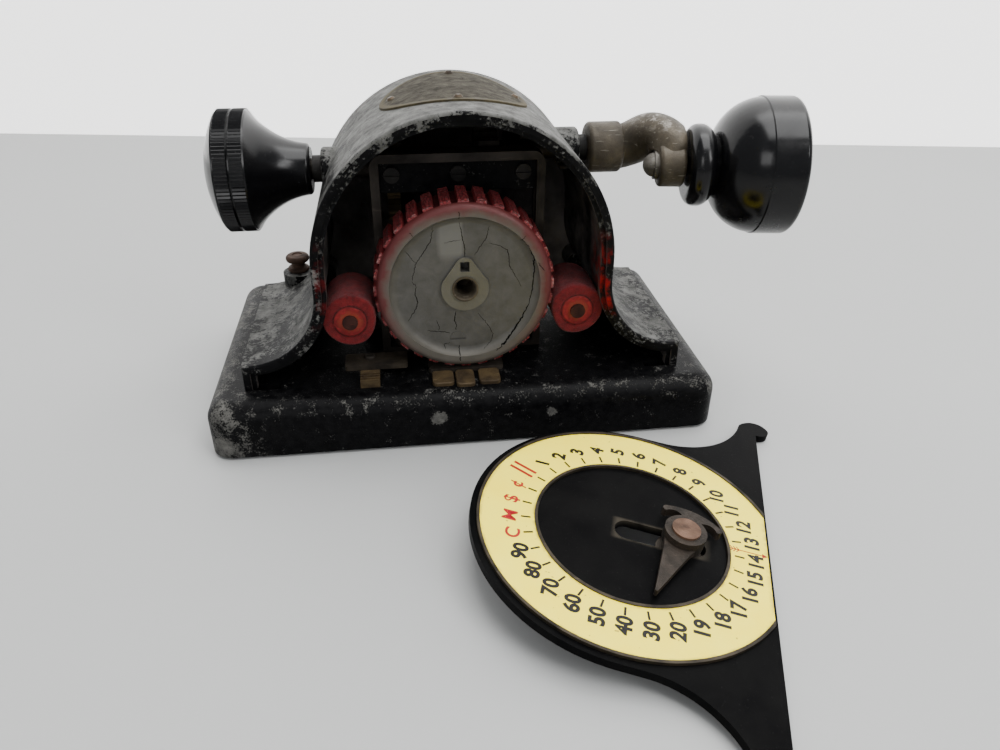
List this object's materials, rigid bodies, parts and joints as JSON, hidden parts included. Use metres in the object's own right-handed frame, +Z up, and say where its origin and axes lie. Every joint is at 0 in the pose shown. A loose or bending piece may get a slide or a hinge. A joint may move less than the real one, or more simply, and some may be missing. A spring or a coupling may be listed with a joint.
{
  "type": "hand-cranked cheque writer",
  "caption": "Antique cheque writer: bell-shaped cast housing open in front on a type wheel and ink rolls, with a crank, a feed knob and its dial plate laid on the table in front.",
  "frame": {"origin": "on the felt under the base, below the arch's middle, at the table's height", "axes": "+X to the right seen from the open front, +Y to the back, +Z up"},
  "size_m": [0.2303, 0.2794, 0.127],
  "materials": {
    "black_enamel": "gloss black enamel, chipped to grey metal",
    "satin_black": "satin black lacquer",
    "black_gloss": "polished black hard rubber",
    "bronze": "tarnished bronze",
    "brass": "dull brass",
    "steel": "dull steel with light rust",
    "rusty_steel": "rusted steel",
    "zinc": "dull grey die-cast metal with cracks",
    "red_rubber": "inked red rubber",
    "black_rubber": "matt black rubber",
    "red_felt": "felt soaked in red ink",
    "stained_wood": "turned wood stained by ink",
    "green_felt": "baize",
    "cream_celluloid": "aged cream celluloid"
  },
  "bodies": {
    "machine": {"base_casting": "black_enamel", "felt_pad": "green_felt", "housing_shell": "black_enamel", "rear_cover": "black_enamel", "rear_cover_screws": "steel", "name_plate": "brass", "name_plate_pins": "brass", "foot_studs": "rusty_steel", "guide_yoke": "steel", "guide_yoke_screws": "steel", "bearing_plate": "steel", "bearing_plate_screws": "steel", "shaft_bushes": "bronze", "ink_arms": "steel", "ink_pins": "steel", "platen_block": "steel", "platen_fingers": "brass", "guide_tongue": "brass", "guide_plate": "steel", "guide_screw": "steel", "gear_side_plate": "steel", "roller_bracket": "steel", "bracket_screws": "steel", "idler_stud": "steel"},
    "nut_left": {"thumb_nut_left": "rusty_steel"},
    "nut_right": {"thumb_nut_right": "rusty_steel"},
    "carriage": {"carriage_block": "steel", "arbor_bush": "bronze", "carriage_rack": "steel", "carriage_rack_screws": "steel"},
    "type_wheel": {"wheel_core": "zinc", "wheel_plug": "steel", "type_band": "red_rubber", "wheel_arbor": "steel", "arbor_collar": "steel"},
    "ink_roll_left": {"ink_felt_left": "red_felt", "ink_core_left": "stained_wood"},
    "ink_roll_right": {"ink_felt_right": "red_felt", "ink_core_right": "stained_wood"},
    "crank": {"crank_arm": "bronze", "crank_set_screw": "steel", "crank_shaft": "steel", "crank_pinion": "steel", "handle_pin": "steel"},
    "handle": {"handle_knob": "black_gloss"},
    "feed_drive": {"feed_knob": "black_gloss", "feed_knob_cap": "black_gloss", "feed_shaft": "steel", "knob_gear": "brass"},
    "idler": {"idler_gear": "brass"},
    "feed_roller": {"roller_gear": "brass", "roller_shaft": "steel", "roller_rubber": "black_rubber"},
    "dial": {"dial_plate": "satin_black", "dial_ring": "cream_celluloid", "dial_bezels": "brass"},
    "slider": {"pointer_slider": "steel"},
    "pointer": {"pointer": "rusty_steel", "pointer_stud": "rusty_steel"}
  },
  "joints": [
    {"name": "crank_pull", "type": "hinge", "parent": "machine", "child": "crank", "pos_m": [0.06, -0.008, 0.0995], "axis": [-1, 0, 0], "range_deg": [0, 68]},
    {"name": "carriage_travel", "type": "slide", "parent": "machine", "child": "carriage", "axis": [0, 0, 1], "range_m": [0, 0.00949]},
    {"name": "type_wheel_spin", "type": "hinge", "parent": "carriage", "child": "type_wheel", "pos_m": [0, -0.042, 0.0592], "axis": [0, 1, 0], "continuous": true},
    {"name": "ink_roll_left_spin", "type": "hinge", "parent": "machine", "child": "ink_roll_left", "pos_m": [-0.0439, -0.038, 0.0475], "axis": [0, 1, 0], "continuous": true},
    {"name": "ink_roll_right_spin", "type": "hinge", "parent": "machine", "child": "ink_roll_right", "pos_m": [0.0439, -0.038, 0.0475], "axis": [0, 1, 0], "continuous": true},
    {"name": "handle_spin", "type": "hinge", "parent": "crank", "child": "handle", "pos_m": [0.082, -0.03, 0.0977], "axis": [0.9912, -0.1323, 0], "continuous": true},
    {"name": "feed_knob_spin", "type": "hinge", "parent": "machine", "child": "feed_drive", "pos_m": [-0.07, -0.008, 0.0941], "axis": [1, 0, 0], "continuous": true},
    {"name": "idler_spin", "type": "hinge", "parent": "machine", "child": "idler", "pos_m": [-0.0245, -0.0005, 0.06454], "axis": [1, 0, 0], "continuous": true},
    {"name": "feed_roller_spin", "type": "hinge", "parent": "machine", "child": "feed_roller", "pos_m": [0, 0.002, 0.03615], "axis": [1, 0, 0], "continuous": true},
    {"name": "nut_left_spin", "type": "hinge", "parent": "machine", "child": "nut_left", "pos_m": [-0.0696, 0.0184, 0.0442], "axis": [0, 0, 1], "continuous": true},
    {"name": "nut_right_spin", "type": "hinge", "parent": "machine", "child": "nut_right", "pos_m": [0.0696, 0.0184, 0.0442], "axis": [0, 0, 1], "continuous": true},
    {"name": "dial_lift", "type": "slide", "parent": "machine", "child": "dial", "axis": [0, 0, 1], "range_m": [0, 0.1]},
    {"name": "pointer_travel", "type": "slide", "parent": "dial", "child": "slider", "axis": [-0.9325, 0.3284, 0.1504], "range_m": [0, 0.017]},
    {"name": "pointer_spin", "type": "hinge", "parent": "slider", "child": "pointer", "pos_m": [0.06021, -0.14169, 0.00794], "axis": [0.1419, -0.05, 0.9886], "continuous": true}
  ],
  "couplings": [
    {"joint": "crank_pull", "follows": "carriage_travel", "rad_per_m": 125},
    {"joint": "idler_spin", "follows": "feed_knob_spin", "ratio": -0.64865},
    {"joint": "feed_roller_spin", "follows": "feed_knob_spin", "ratio": 1.2}
  ]
}
